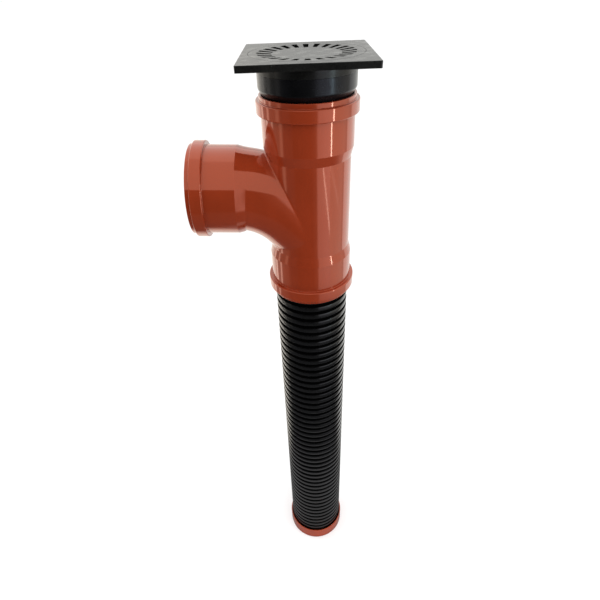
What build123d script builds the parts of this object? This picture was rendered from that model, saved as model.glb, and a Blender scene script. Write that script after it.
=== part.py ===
from build123d import *
import os
from math import cos, radians, sin

# A yard gully that stands upright: a square grate with a removable round insert, a neck,
# a tee with three push-fit sockets, a corrugated riser that is the silt sump, and a base cap.
# Millimetres, +Z up, the origin is at the centre of the base cap's underside.
# The branch of the tee points along -X.

# Pipe system, nominal 160
pipe_radius = 80.0
pipe_wall = 4.0
end_chamfer = 1.2

# Push-fit socket, the same at the tee's three mouths
socket_clearance = 0.4
socket_wall = 4.1
lip_radius = 86.0
lip_length = 8.0
lip_lead_in = 1.6
bead_radius = 92.0
bead_length = 22.5
bead_wall = 4.0
bead_chamfer = 1.6
barrel_length = 58.5
cone_length = 18.5
seat_gap = 0.5

# Tee
tee_length = 399.0
branch_level = 218.4
branch_reach = 227.3
branch_angle = 87.5
branch_radius = 79.5
branch_mitre = 8.0
branch_bend_radius = 160.0
branch_bend_angle = 37.0

# Seal ring in a socket's bead
seal_clearance = 0.1
seal_lip_depth = 4.0
seal_heel_share = 0.45

# Corrugated riser
riser_length = 1090.0
ridge_count = 55
ridge_depth = 5.0
riser_wall = 2.5
crest_share = 0.60

# Base cap and its seal
cap_radius = 85.2
cap_height = 43.3
cap_wall = 2.8
cap_floor = 5.0
cap_foot_chamfer = 2.5
cap_rim_chamfer = 1.0
cap_seal_clearance = 0.3
cap_seal_crown_share = 0.5

# Neck between the tee and the frame
neck_wall = 3.6
neck_barrel_length = 25.2
neck_shoulder_length = 10.5
neck_shoulder_fillet = 6.0

# Grate frame
frame_width = 220.0
frame_corner_radius = 2.5
frame_skirt_height = 10.5
frame_skirt_wall = 3.5
frame_top_thickness = 4.0
frame_edge_chamfer = 0.6
frame_margin = 12.4
pocket_wall = 3.0
ledge_width = 13.4
ledge_thickness = 3.5
collar_drop = 16.3
collar_wall = 2.8
collar_proud = 0.8
funnel_length = 4.0
frame_spigot_length = 20.0
frame_spigot_wall = 3.0
frame_spigot_clearance = 0.3
frame_rib_thickness = 2.4
frame_rib_spread = 17.0
frame_side_count = 4
pip_width = 2.4
pip_height = 6.0
pip_proud = 0.4
pip_place_share = 0.25

# Round grate insert
insert_gap = 0.5
insert_rim_depth = 6.0
insert_web = 4.0
insert_dish = 2.0
insert_dish_margin = 1.0
insert_edge_chamfer = 0.5
slot_margin = 0.7
slot_length = 24.5
slot_count = 24
slot_width_share = 0.5
rib_ring_thickness = 3.0
insert_rib_depth = 5.0
insert_rib_thickness = 2.4
insert_rib_count = 6

# One overrun for every cut
overrun = 2.0

# Radii and depths that follow from the sizes above
socket_bore = pipe_radius + socket_clearance
socket_radius = socket_bore + socket_wall
mouth_radius = socket_bore + lip_lead_in
bead_start = lip_length
bead_end = bead_start + bead_length
barrel_end = bead_end + barrel_length
cone_end = barrel_end + cone_length
groove_radius = bead_radius - bead_wall
groove_start = bead_start + bead_wall
groove_end = bead_end - bead_wall
pipe_bore = pipe_radius - pipe_wall
insert_radius = frame_width / 2 - frame_margin
throat_radius = insert_radius - ledge_width
collar_radius = throat_radius + collar_wall
neck_radius = collar_radius - collar_proud
slot_outer_radius = throat_radius - slot_margin
slot_inner_radius = slot_outer_radius - slot_length

# Levels from the ground up
riser_bottom = cap_floor
riser_top = riser_bottom + riser_length
tee_bottom = riser_top + seat_gap - barrel_end
tee_top = tee_bottom + tee_length
neck_spigot_end = tee_top - barrel_end + seat_gap
neck_barrel_start = tee_top + neck_shoulder_length
neck_rim = neck_barrel_start + neck_barrel_length
frame_bottom = neck_rim + collar_drop
frame_top = frame_bottom + frame_skirt_height
ledge_top = frame_top - insert_rim_depth

# Branch
branch_tilt = radians(90 - branch_angle)
branch_origin = Vector(0, 0, tee_bottom + branch_level)
branch_direction = Vector(-cos(branch_tilt), 0, sin(branch_tilt))
branch_plane = Plane(origin=branch_origin, x_dir=Vector(0, 1, 0), z_dir=branch_direction)


def turned(points):
    """Solid of revolution about Z of a closed outline of (radius, height) points."""
    outline = Polyline(*points, close=True)
    return revolve(make_face(Plane.XZ * outline), Axis.Z)


def ring_about_z(inner_radius, outer_radius, bottom, top):
    """Plain tube between two radii and two levels."""
    tube = [
        (inner_radius, bottom),
        (outer_radius, bottom),
        (outer_radius, top),
        (inner_radius, top),
    ]
    return turned(tube)


def socket_outline(end_radius):
    """Outside of a socket as (radius, depth behind the mouth)."""
    return [
        (lip_radius, 0),
        (lip_radius, bead_start),
        (bead_radius - bead_chamfer, bead_start),
        (bead_radius, bead_start + bead_chamfer),
        (bead_radius, bead_end - bead_chamfer),
        (bead_radius - bead_chamfer, bead_end),
        (socket_radius, bead_end),
        (socket_radius, barrel_end),
        (end_radius, cone_end),
    ]


def socket_cavity(end_radius):
    """Inside of a socket, with its seal groove, as (radius, depth behind the mouth)."""
    return [
        (mouth_radius, 0),
        (socket_bore, lip_lead_in),
        (socket_bore, groove_start),
        (groove_radius, groove_start),
        (groove_radius, groove_end),
        (socket_bore, groove_end),
        (socket_bore, barrel_end),
        (end_radius, cone_end),
    ]


def run_solid(outline):
    """The tee's straight run, from an outline that both of its ends share."""
    lower = [(radius, tee_bottom + depth) for radius, depth in outline]
    upper = [(radius, tee_top - depth) for radius, depth in reversed(outline)]
    return turned([(0, tee_bottom), *lower, *upper, (0, tee_top)])


def branch_section_plane(origin, tilt):
    """Plane across the branch, which faces into the tee."""
    direction = Vector(cos(tilt), 0, -sin(tilt))
    return Plane(origin=origin, x_dir=Vector(0, 1, 0), z_dir=direction)


def branch_solid(outline, tube_radius):
    """The tee's branch: a socket, a bend mitred to its cone and a straight lead to the run's axis."""
    straight_start = branch_reach - cone_end
    start = branch_origin + branch_direction * straight_start
    half_mitre = radians(branch_mitre / 2)
    mitre_plane = branch_section_plane(start, branch_tilt + half_mitre)
    mitre_reach = tube_radius * sin(2 * half_mitre)
    points = [(radius, branch_reach - depth) for radius, depth in outline]
    straight_end = straight_start - mitre_reach
    points += [(tube_radius, straight_end), (0, straight_end)]
    socket = branch_plane * turned([(0, branch_reach), *points])
    socket = split(socket, bisect_by=mitre_plane, keep=Keep.BOTTOM)
    bend_tilt = branch_tilt + 2 * half_mitre
    bend_plane = branch_section_plane(start, bend_tilt)
    centre = start - Vector(sin(bend_tilt), 0, cos(bend_tilt)) * branch_bend_radius
    bend = extrude(bend_plane * Circle(tube_radius), -mitre_reach)
    bend += revolve(
        bend_plane * Circle(tube_radius), Axis(centre, Vector(0, 1, 0)), branch_bend_angle
    )
    bend = split(bend, bisect_by=mitre_plane, keep=Keep.TOP)
    lead_tilt = bend_tilt + radians(branch_bend_angle)
    end = centre + Vector(sin(lead_tilt), 0, cos(lead_tilt)) * branch_bend_radius
    lead_plane = branch_section_plane(end, lead_tilt)
    lead = extrude(lead_plane * Circle(tube_radius), -end.X / cos(lead_tilt))
    return socket + bend + lead


def make_tee():
    """One moulding: the run and the swept branch, with a socket at each of the three mouths."""
    branch_bore = branch_radius - pipe_wall
    outside = run_solid(socket_outline(pipe_radius))
    outside += branch_solid(socket_outline(branch_radius), branch_radius)
    inside = run_solid(socket_cavity(pipe_bore))
    inside += branch_solid(socket_cavity(branch_bore), branch_bore)
    return outside - inside


def seal_section():
    """A seal ring's section as (radius, depth behind the mouth): a heel in the groove and a lip."""
    outer = groove_radius - seal_clearance
    inner = socket_bore + seal_clearance
    front = groove_start + seal_clearance
    back = groove_end - seal_clearance
    heel = front + (back - front) * seal_heel_share
    return [
        (inner, front),
        (outer, front),
        (outer, back),
        (outer - seal_lip_depth, back),
        (outer - seal_lip_depth, heel),
        (inner, heel),
    ]


def make_top_seal():
    return turned([(radius, tee_top - depth) for radius, depth in seal_section()])


def make_bottom_seal():
    return turned([(radius, tee_bottom + depth) for radius, depth in seal_section()])


def make_branch_seal():
    points = [(radius, branch_reach - depth) for radius, depth in seal_section()]
    return branch_plane * turned(points)


def make_riser():
    """The corrugated pipe: flat crests with narrow grooves, cut through a groove at each end."""
    pitch = riser_length / ridge_count
    half_groove = pitch * (1 - crest_share) / 2
    groove_bottom = pipe_radius - ridge_depth
    bore = groove_bottom - riser_wall
    points = [(bore, riser_bottom), (groove_bottom, riser_bottom)]
    for ridge in range(ridge_count):
        start = riser_bottom + pitch * ridge
        points.append((pipe_radius, start + half_groove))
        points.append((pipe_radius, start + pitch - half_groove))
        points.append((groove_bottom, start + pitch))
    points.append((bore, riser_top))
    return turned(points)


def make_base_cap():
    """A cup round the riser's lower end, which stands on the cup's floor."""
    inner = cap_radius - cap_wall
    points = [
        (0, 0),
        (cap_radius - cap_foot_chamfer, 0),
        (cap_radius, cap_foot_chamfer),
        (cap_radius, cap_height),
        (inner + cap_rim_chamfer, cap_height),
        (inner, cap_height - cap_rim_chamfer),
        (inner, cap_floor),
        (0, cap_floor),
    ]
    return turned(points)


def make_cap_seal():
    """A rubber ring in the riser's first whole groove, against the cap's wall."""
    pitch = riser_length / ridge_count
    level = riser_bottom + pitch
    half_groove = pitch * (1 - crest_share) / 2
    root = pipe_radius - ridge_depth + cap_seal_clearance
    crown = cap_radius - cap_wall - cap_seal_clearance
    foot = half_groove - cap_seal_clearance * half_groove / ridge_depth - cap_seal_clearance
    half_crown = foot * cap_seal_crown_share
    points = [
        (root + cap_seal_clearance, level),
        (pipe_radius, level - foot),
        (crown, level - half_crown),
        (crown, level + half_crown),
        (pipe_radius, level + foot),
    ]
    return turned(points)


def make_neck():
    """An adapter: a spigot in the tee's top socket, a shoulder, and a barrel for the frame."""
    inner = neck_radius - neck_wall
    points = [
        (pipe_bore, neck_spigot_end),
        (pipe_radius - end_chamfer, neck_spigot_end),
        (pipe_radius, neck_spigot_end + end_chamfer),
        (pipe_radius, tee_top),
        (neck_radius, neck_barrel_start),
        (neck_radius, neck_rim),
        (inner, neck_rim),
        (inner, neck_barrel_start),
        (pipe_bore, tee_top),
    ]
    neck = turned(points)
    circles = neck.edges().filter_by(GeomType.CIRCLE)
    corner = min(circles, key=lambda circle: abs(circle.center().Z - neck_barrel_start))
    return fillet(corner, neck_shoulder_fillet)


def frame_plate():
    """The frame's square top with its skirt, open below."""
    outer_square = RectangleRounded(frame_width, frame_width, frame_corner_radius)
    block = extrude(Pos(0, 0, frame_bottom) * outer_square, frame_skirt_height)
    top_edges = block.edges().group_by(Axis.Z)[-1]
    block = chamfer(top_edges, frame_edge_chamfer)
    inner_width = frame_width - 2 * frame_skirt_wall
    hollow_depth = frame_skirt_height - frame_top_thickness
    hollow_start = frame_bottom - overrun
    hollow = Pos(0, 0, hollow_start) * Rectangle(inner_width, inner_width)
    return block - extrude(hollow, hollow_depth + overrun)


def frame_ribs(pocket_outer):
    """Three stiffening ribs in each corner, from the pocket's wall to the skirt."""
    rib_height = frame_skirt_height - frame_top_thickness
    reach = frame_width - 2 * frame_skirt_wall
    quarter = 360 / frame_side_count
    ribs = []
    for corner in range(frame_side_count):
        for side in (-1, 0, 1):
            angle = quarter * corner + quarter / 2 + frame_rib_spread * side
            strip = Rectangle(reach, frame_rib_thickness, align=(Align.MIN, Align.CENTER))
            ribs.append(extrude(Rot(0, 0, angle) * strip, rib_height))
    bounds = extrude(Rectangle(reach, reach), rib_height)
    bounds -= extrude(Circle(pocket_outer), rib_height)
    return [Pos(0, 0, frame_bottom) * (rib & bounds) for rib in ribs]


def frame_pips():
    """Two small upright pips on each side of the skirt."""
    half_width = frame_width / 2
    offset = half_width - frame_width * pip_place_share
    middle = frame_bottom + frame_skirt_height / 2
    side_turn = 360 / frame_side_count
    pips = []
    for side in range(frame_side_count):
        for place in (-offset, offset):
            pip = Box(pip_width, pip_proud + frame_skirt_wall, pip_height)
            centre_y = -half_width - pip_proud + (pip_proud + frame_skirt_wall) / 2
            pips.append(Rot(0, 0, side_turn * side) * Pos(place, centre_y, middle) * pip)
    return pips


def make_grate_frame():
    """The square frame: a pocket with a ledge for the insert, a collar and a short spigot."""
    pocket_radius = insert_radius + insert_gap
    pocket_outer = pocket_radius + pocket_wall
    spigot_outer = neck_radius - neck_wall - frame_spigot_clearance
    spigot_inner = spigot_outer - frame_spigot_wall
    spigot_end = neck_rim - frame_spigot_length
    ledge_bottom = ledge_top - ledge_thickness
    frame = frame_plate()
    pocket = [
        (spigot_inner, spigot_end),
        (spigot_outer - end_chamfer, spigot_end),
        (spigot_outer, spigot_end + end_chamfer),
        (spigot_outer, neck_rim),
        (collar_radius, neck_rim),
        (collar_radius, ledge_bottom),
        (pocket_outer, ledge_bottom),
        (pocket_outer, frame_top - frame_top_thickness),
        (0, frame_top - frame_top_thickness),
        (0, spigot_end),
    ]
    frame += turned(pocket)
    cavity = [
        (0, spigot_end - overrun),
        (spigot_inner, spigot_end - overrun),
        (spigot_inner, neck_rim),
        (throat_radius, neck_rim + funnel_length),
        (throat_radius, ledge_top),
        (pocket_radius, ledge_top),
        (pocket_radius, frame_top + overrun),
        (0, frame_top + overrun),
    ]
    frame -= turned(cavity)
    frame += frame_ribs(pocket_outer)
    frame += frame_pips()
    return frame


def slot_cutter():
    """A wedge-shaped slot, whose sides are radial."""
    half_angle = 180 / slot_count * slot_width_share
    start, end = -half_angle, half_angle
    inner_arc = CenterArc((0, 0), slot_inner_radius, start, end - start)
    outer_arc = CenterArc((0, 0), slot_outer_radius, start, end - start)
    sides = [Line(inner_arc @ 0, outer_arc @ 0), Line(inner_arc @ 1, outer_arc @ 1)]
    wedge = make_face(Curve() + [inner_arc, sides[1], outer_arc, sides[0]])
    depth = insert_rim_depth + insert_dish + insert_rib_depth
    low = frame_top - depth - overrun
    return extrude(Pos(0, 0, low) * wedge, depth + 2 * overrun)


def insert_ribs():
    """Ribs under the plain centre, from a ring below the slots' inner ends to the middle."""
    underside = frame_top - insert_dish - insert_web
    ring_outer = slot_inner_radius - insert_dish_margin
    ring_inner = ring_outer - rib_ring_thickness
    bottom = underside - insert_rib_depth
    ribs = ring_about_z(ring_inner, ring_outer, bottom, underside)
    for number in range(insert_rib_count):
        strip = Rectangle(ring_inner, insert_rib_thickness, align=(Align.MIN, Align.CENTER))
        rib = extrude(Rot(0, 0, 360 / insert_rib_count * number) * strip, insert_rib_depth)
        ribs += Pos(0, 0, bottom) * rib
    return ribs


def make_grate_insert():
    """The removable round grate: a flat rim, a dished ring of slots and a plain centre."""
    bottom = frame_top - insert_rim_depth
    centre_radius = slot_inner_radius - insert_dish_margin
    points = [
        (0, frame_top - insert_dish - insert_web),
        (centre_radius, frame_top - insert_dish - insert_web),
        (throat_radius, frame_top - insert_web),
        (throat_radius, bottom),
        (insert_radius, bottom),
        (insert_radius, frame_top - insert_edge_chamfer),
        (insert_radius - insert_edge_chamfer, frame_top),
        (throat_radius, frame_top),
        (centre_radius, frame_top - insert_dish),
        (0, frame_top - insert_dish),
    ]
    insert = turned(points) + insert_ribs()
    cutter = slot_cutter()
    slots = [Rot(0, 0, 360 / slot_count * number) * cutter for number in range(slot_count)]
    return insert - slots


makers = {
    "grate_frame": make_grate_frame,
    "grate_insert": make_grate_insert,
    "neck": make_neck,
    "tee": make_tee,
    "top_seal_ring": make_top_seal,
    "branch_seal_ring": make_branch_seal,
    "bottom_seal_ring": make_bottom_seal,
    "riser_pipe": make_riser,
    "cap_seal_ring": make_cap_seal,
    "base_cap": make_base_cap,
}

os.makedirs("parts", exist_ok=True)
for name, maker in makers.items():
    export_step(maker(), f"parts/{name}.step")
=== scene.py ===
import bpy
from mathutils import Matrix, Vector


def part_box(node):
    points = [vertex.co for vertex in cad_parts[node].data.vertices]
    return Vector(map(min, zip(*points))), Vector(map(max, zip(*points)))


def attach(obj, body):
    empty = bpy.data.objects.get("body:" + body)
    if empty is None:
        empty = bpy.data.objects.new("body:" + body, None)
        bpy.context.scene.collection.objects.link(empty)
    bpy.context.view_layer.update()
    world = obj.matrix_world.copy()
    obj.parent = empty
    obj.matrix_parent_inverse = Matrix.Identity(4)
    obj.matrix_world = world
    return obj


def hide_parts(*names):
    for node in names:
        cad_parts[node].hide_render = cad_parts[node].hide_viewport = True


bl_info = {
    "name": "Yard gully",
    "version": (1, 0, 0),
    "blender": (4, 5, 0),
    "location": "3D View > Sidebar > Gully",
    "description": "A yard gully: grate, neck, tee with a branch, corrugated riser and base cap",
    "category": "Add Mesh",
}

from math import asin, atan2, ceil, cos, hypot, pi, radians, sin, sqrt, tan, tau

import bmesh
import bpy
from bpy.props import FloatProperty, FloatVectorProperty, IntProperty, PointerProperty
from mathutils import Matrix, Vector

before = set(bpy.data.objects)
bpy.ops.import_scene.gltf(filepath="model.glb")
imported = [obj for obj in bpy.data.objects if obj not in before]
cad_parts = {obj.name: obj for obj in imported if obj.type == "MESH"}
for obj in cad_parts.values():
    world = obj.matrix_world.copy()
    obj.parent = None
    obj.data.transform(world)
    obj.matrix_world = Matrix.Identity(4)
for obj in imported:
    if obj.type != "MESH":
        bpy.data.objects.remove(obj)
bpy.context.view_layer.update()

# Metres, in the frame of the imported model: +Z up, the branch points along -X.

BODY = "root"

MERGE_DISTANCE = 1e-6  # points closer together than this are merged

# Rounded corners
ARC_STEP = radians(15)  # turn of each step of an arc
SMALL_ARC_STEP = radians(30)  # the same on a small arc
SMALL_RADIUS = 0.001  # arcs below this radius are small
STEP_SLACK = 0.01  # part of a step that doesn't add one more
ARC_SHARE = 0.49  # largest share of a side that one arc takes
LEAST_TURN = radians(1)  # corners that turn less get no arc
SHARP_ANGLE = radians(50)  # edges above this angle are shaded sharp
BEVEL_ANGLE = radians(55)  # the insert's edges above this angle get a bevel

# The tee's wall
BRANCH_ROWS = 40  # along the branch, from its socket to the seam
RUN_ROWS = 24  # along the run, from the seam to either socket
WELD_STEPS = (0.25, 0.5, 0.75)  # rows across the rounding at the seam
PIPE_TAIL = 0.004  # plain pipe at the end of a socket's section
SETTLING = 0.02  # way from the seam in which a column comes to its even angle
SEARCH_STEPS = 50  # halvings that find where the branch enters the run
PROBE_TURN = 0.01  # small turn that shows on which side the next column lies

# The square frame's columns
SIDE_COLUMNS = 44  # even ones along each side
CORNER_SPREAD = radians(1.2)
CORNER_STEPS = (-0.75, -0.5, -0.25, 0.25, 0.5, 0.75)  # close ones, in spreads from the corner

GROOVE_FLAT = 0.0004  # straight part of a groove's bottom at either end of a ridge's outline


def low(node, axis):
    """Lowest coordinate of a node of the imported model."""
    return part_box(node)[0][axis]


def high(node, axis):
    """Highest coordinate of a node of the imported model."""
    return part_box(node)[1][axis]


def maker(kind, **fixed):
    """A function that makes one kind of property."""

    def make(name, default, description):
        return kind(name=name, description=description, default=default, **fixed)

    return make


length = maker(FloatProperty, unit="LENGTH", subtype="DISTANCE", precision=5)
angle = maker(FloatProperty, subtype="ANGLE")
share = maker(FloatProperty, subtype="FACTOR", min=0, max=1)
level = maker(FloatProperty, unit="NONE", min=0)
count = maker(IntProperty, min=1)
colour = maker(FloatVectorProperty, subtype="COLOR", size=3, min=0, max=1)


class GullySocketSizes(bpy.types.PropertyGroup):
    bore: length("Bore", 0.0804, "Radius that takes a pipe's end")
    wall: length("Wall", 0.0041, "Thickness of the socket's barrel")
    lip_radius: length("Lip radius", 0.086, "Outside of the lip in front of the bead")
    lip_length: length("Lip length", 0.008, "From the mouth to the bead")
    lead_in: length("Lead-in", 0.0016, "Chamfer inside the mouth")
    bead_radius: length("Bead radius", 0.092, "Outside of the bead that holds the seal ring")
    bead_length: length("Bead length", 0.0225, "Length of the bead")
    bead_wall: length("Bead wall", 0.004, "Thickness of the bead round its groove")
    barrel_length: length("Barrel length", 0.0585, "From the bead to the cone")
    cone_length: length("Cone length", 0.0185, "From the barrel down to the pipe")
    lip_rounding: length("Lip rounding", 0.0011, "Rounding of the mouth's edges")
    bead_rounding: length("Bead rounding", 0.0022, "Rounding of the bead's outer edges")
    corner_rounding: length("Inner corner", 0.0009, "Rounding of the corners at the bead")
    cone_rounding: length("Cone rounding", 0.0035, "Rounding where the cone starts and ends")


class GullyTeeSizes(bpy.types.PropertyGroup):
    pipe_radius: length("Pipe radius", 0.080, "Outside of the run between its sockets")
    pipe_wall: length("Pipe wall", 0.004, "Thickness of the run and of the branch")
    branch_level: length("Branch level", 0.2184, "Branch's axis above the lower mouth")
    branch_reach: length("Branch reach", 0.2273, "From the run's axis to the branch's mouth")
    branch_angle: angle("Branch angle", radians(87.5), "Between the run and the branch's socket")
    branch_radius: length("Branch radius", 0.0795, "Outside of the branch's bend")
    mitre: angle("Mitre", radians(8), "Turn where the bend meets the socket's cone")
    mitre_blend: length("Mitre blend", 0.007, "Reach of the mitre's soft edge along the branch")
    bend_radius: length("Bend radius", 0.160, "Of the bend's middle line")
    bend_angle: angle("Bend angle", radians(37), "Turn of the bend down to the straight lead")
    weld_radius: length("Weld", 0.0022, "Reach of the rounding where the branch meets the run")
    columns: count("Columns", 88, "Faces across the branch's upper half")


class GullyRiserSizes(bpy.types.PropertyGroup):
    bottom: length("Bottom", low("riser_pipe", 2), "Lower end")
    top: length("Top", high("riser_pipe", 2), "Upper end")
    crest_radius: length("Crest radius", high("riser_pipe", 0), "Outside of the ridges")
    ridge_count: count("Ridges", 55, "Number of ridges")
    ridge_depth: length("Ridge depth", 0.005, "From the crest to the groove")
    wall: length("Wall", 0.0025, "Wall under the grooves")
    crest_share: share("Crest share", 0.60, "Share of the pitch that is flat crest")
    crest_rounding: length("Crest rounding", 0.0018, "Rounding of the crests' edges")
    groove_rounding: length("Groove rounding", 0.0012, "Rounding of the grooves")
    crest_crown: length("Crest crown", 0.0003, "Fall of a crest from its middle to its edges")
    columns: count("Columns", 90, "Faces round the pipe")


class GullyCapSizes(bpy.types.PropertyGroup):
    radius: length("Radius", high("base_cap", 0), "Outside of the cap")
    height: length("Height", high("base_cap", 2), "Height of the cap")
    wall: length("Wall", 0.0028, "Thickness of the cap's side")
    floor: length("Floor", 0.005, "Thickness of the cap's floor")
    foot_rounding: length("Foot rounding", 0.004, "Rounding of the foot")
    rim_rounding: length("Rim rounding", 0.0009, "Rounding of the rim")


class GullyNeckSizes(bpy.types.PropertyGroup):
    radius: length("Radius", high("neck", 0), "Outside of the barrel")
    wall: length("Wall", 0.0036, "Thickness of the barrel")
    spigot_end: length("Spigot end", low("neck", 2), "Lower end, inside the tee")
    shoulder_start: length("Shoulder start", 1.4055, "Level where the spigot starts to widen")
    barrel_start: length("Barrel start", 1.416, "Level where the barrel starts")
    rim: length("Rim", high("neck", 2), "Level that carries the frame's collar")
    shoulder_rounding: length("Shoulder rounding", 0.006, "Rounding of the shoulder")
    edge_rounding: length("Edge rounding", 0.0006, "Rounding of the other edges")


class GullyFrameSizes(bpy.types.PropertyGroup):
    width: length("Width", 0.220, "Side of the square frame")
    corner_radius: length("Corner radius", 0.0025, "Rounding of the square's corners")
    top: length("Top", high("grate_frame", 2), "Level of the top")
    skirt_height: length("Skirt height", 0.0105, "Height of the skirt")
    skirt_wall: length("Skirt wall", 0.0035, "Thickness of the skirt")
    plate: length("Plate", 0.004, "Thickness of the top")
    pocket_radius: length("Pocket radius", 0.0981, "Inside of the insert's pocket")
    pocket_wall: length("Pocket wall", 0.003, "Wall round the pocket")
    ledge_depth: length("Ledge depth", 0.006, "From the top to the ledge")
    ledge_thickness: length("Ledge thickness", 0.0035, "Thickness of the ledge")
    throat_radius: length("Throat", 0.0842, "Opening below the ledge")
    collar_radius: length("Collar radius", 0.087, "Outside of the collar on the neck")
    collar_start: length("Collar start", high("neck", 2), "Level where the collar starts")
    funnel: length("Funnel", 0.004, "Height of the funnel above the spigot")
    spigot_radius: length("Spigot radius", 0.0823, "Outside of the spigot")
    spigot_wall: length("Spigot wall", 0.003, "Thickness of the spigot")
    spigot_end: length("Spigot end", low("grate_frame", 2), "Lower end of the spigot")
    edge_rounding: length("Edge rounding", 0.0008, "Rounding of the square's edges")
    rib_thickness: length("Rib thickness", 0.0024, "Ribs under the corners")
    rib_spread: angle("Rib spread", radians(17), "Between two ribs of a corner")
    pip_width: length("Pip width", 0.0024, "Upright pips on the skirt")
    pip_height: length("Pip height", 0.006, "Height of a pip")
    pip_proud: length("Pip proud", 0.00039, "How far a pip stands out")
    pip_offset: length("Pip offset", 0.055, "From the middle of a side to a pip")
    pip_rounding: length("Pip rounding", 0.0002, "Rounding of a pip's edges")


class GullyInsertSizes(bpy.types.PropertyGroup):
    radius: length("Radius", high("grate_insert", 0), "Outside of the insert")
    rim_depth: length("Rim depth", 0.006, "Height of the rim")
    web: length("Web", 0.004, "Thickness of the slotted ring and the centre")
    dish: length("Dish", 0.002, "How far the centre lies below the rim")
    dish_radius: length("Dish radius", 0.058, "Where the flat centre ends")
    rim_radius: length("Rim radius", 0.0842, "Where the flat rim starts")
    slot_inner: length("Slots' inner radius", 0.059, "Inner end of the slots")
    slot_outer: length("Slots' outer radius", 0.0835, "Outer end of the slots")
    slot_count: count("Slots", 24, "Number of slots")
    slot_share: share("Slot share", 0.5, "Share of the ring that is open")
    slot_rounding: length("Slot rounding", 0.001, "Rounding of the slots' corners")
    edge_rounding: length("Edge rounding", 0.0004, "Rounding of the slots' upper edges")
    rib_depth: length("Rib depth", 0.005, "Depth of the ribs under the centre")
    rib_thickness: length("Rib thickness", 0.0024, "Thickness of a rib")
    ring_thickness: length("Ring thickness", 0.003, "Thickness of the ring under the centre")
    rib_count: count("Ribs", 3, "Ribs right across the centre")


class GullySealSizes(bpy.types.PropertyGroup):
    clearance: length("Clearance", 0.0001, "Between the ring and its groove")
    lip_depth: length("Lip depth", 0.004, "Height of the ring's back part")
    heel_share: share("Heel share", 0.45, "Share of the length that reaches the pipe")
    rounding: length("Rounding", 0.0012, "Rounding of the ring's edges")
    columns: count("Columns", 144, "Faces round the ring")


class GullyColours(bpy.types.PropertyGroup):
    terracotta: colour("Terracotta", (0.270, 0.034, 0.0105), "Glossy moulded tee and cap")
    terracotta_gloss: colour("Terracotta gloss", (1.0, 0.39, 0.25), "Tint of the tee's gloss")
    moulding: colour("Black moulding", (0.004, 0.004, 0.0045), "Neck")
    moulding_gloss: colour("Moulding gloss", (0.86, 0.89, 1.0), "Tint of the neck's gloss")
    grate: colour("Grate", (0.006, 0.006, 0.0055), "Frame and insert")
    riser: colour("Riser", (0.004, 0.004, 0.0042), "Corrugated pipe")
    rubber: colour("Rubber", (0.014, 0.014, 0.014), "Seal rings")
    floor: colour("Floor", (0.62, 0.62, 0.62), "Studio floor")


class GullyStage(bpy.types.PropertyGroup):
    side_light: level("Side light", 0.33, "Strength of the soft light from the horizon")
    top_light: level("Top light", 1.6, "Strength of the soft light from above")
    key_light: level("Key light", 8.0, "Power of the large soft light on the right, in watts")
    back_light: level("Back light", 8.0, "Power of the soft light at the left and back, in watts")
    foot_light: level("Foot light", 1.6, "Power of the soft light at the foot, in watts")
    floor_glow: level("Floor glow", 0.28, "Brightness that the floor adds for the camera")
    floor_gloss: share("Floor gloss", 0.48, "Share of the floor's colour that shows in the gloss")
    panel_light: level("Panel light", 2.5, "Brightness of the brightest panel in the gloss")
    lamp_light: level("Lamp light", 15.0, "Brightness in the gloss of the upright lamp")
    streak_light: level("Streak light", 4.0, "Brightness in the gloss of the slanting streak")
    front_sky: level("Front sky", 1.1, "Brightness in the gloss of what hangs over the front")
    back_sky: level("Back sky", 1.5, "Brightness in the gloss of what hangs over the back")
    dark_floor: level("Dark floor", 0.12, "Brightness in the gloss of what lies far below")
    near_floor: length("Near floor", 0.30, "Radius of the floor that shows in the gloss")


class GullySettings(bpy.types.PropertyGroup):
    socket: PointerProperty(type=GullySocketSizes)
    tee: PointerProperty(type=GullyTeeSizes)
    riser: PointerProperty(type=GullyRiserSizes)
    cap: PointerProperty(type=GullyCapSizes)
    neck: PointerProperty(type=GullyNeckSizes)
    grate_frame: PointerProperty(type=GullyFrameSizes)
    insert: PointerProperty(type=GullyInsertSizes)
    seal: PointerProperty(type=GullySealSizes)
    colours: PointerProperty(type=GullyColours)
    stage: PointerProperty(type=GullyStage)


# Outlines


def rounded(corners, closed=False, small=SMALL_RADIUS):
    """The line through (x, y, radius) corners, with arcs on them, and fewer steps on small ones."""
    result = []
    last = len(corners) - 1
    for number, (x, y, radius) in enumerate(corners):
        corner = Vector((x, y))
        if radius == 0 or (not closed and number in (0, last)):
            result.append(corner)
            continue
        to_previous = Vector(corners[number - 1][:2]) - corner
        to_next = Vector(corners[(number + 1) % len(corners)][:2]) - corner
        reach = ARC_SHARE * min(to_previous.length, to_next.length)
        to_previous.normalize()
        to_next.normalize()
        opening = to_previous.angle(to_next)
        turn = pi - opening
        if turn < LEAST_TURN:
            result.append(corner)
            continue
        reach = min(reach, radius / tan(opening / 2))
        centre = corner + (to_previous + to_next).normalized() * (reach / cos(opening / 2))
        start = corner + to_previous * reach - centre
        end = corner + to_next * reach - centre
        arc_step = SMALL_ARC_STEP if radius < small else ARC_STEP
        steps = max(2, ceil(turn / arc_step - STEP_SLACK))
        side = 1 if start.x * end.y - start.y * end.x > 0 else -1
        for step in range(steps + 1):
            part = side * turn * step / steps
            turned_x = start.x * cos(part) - start.y * sin(part)
            turned_y = start.x * sin(part) + start.y * cos(part)
            result.append(centre + Vector((turned_x, turned_y)))
    return result


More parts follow.
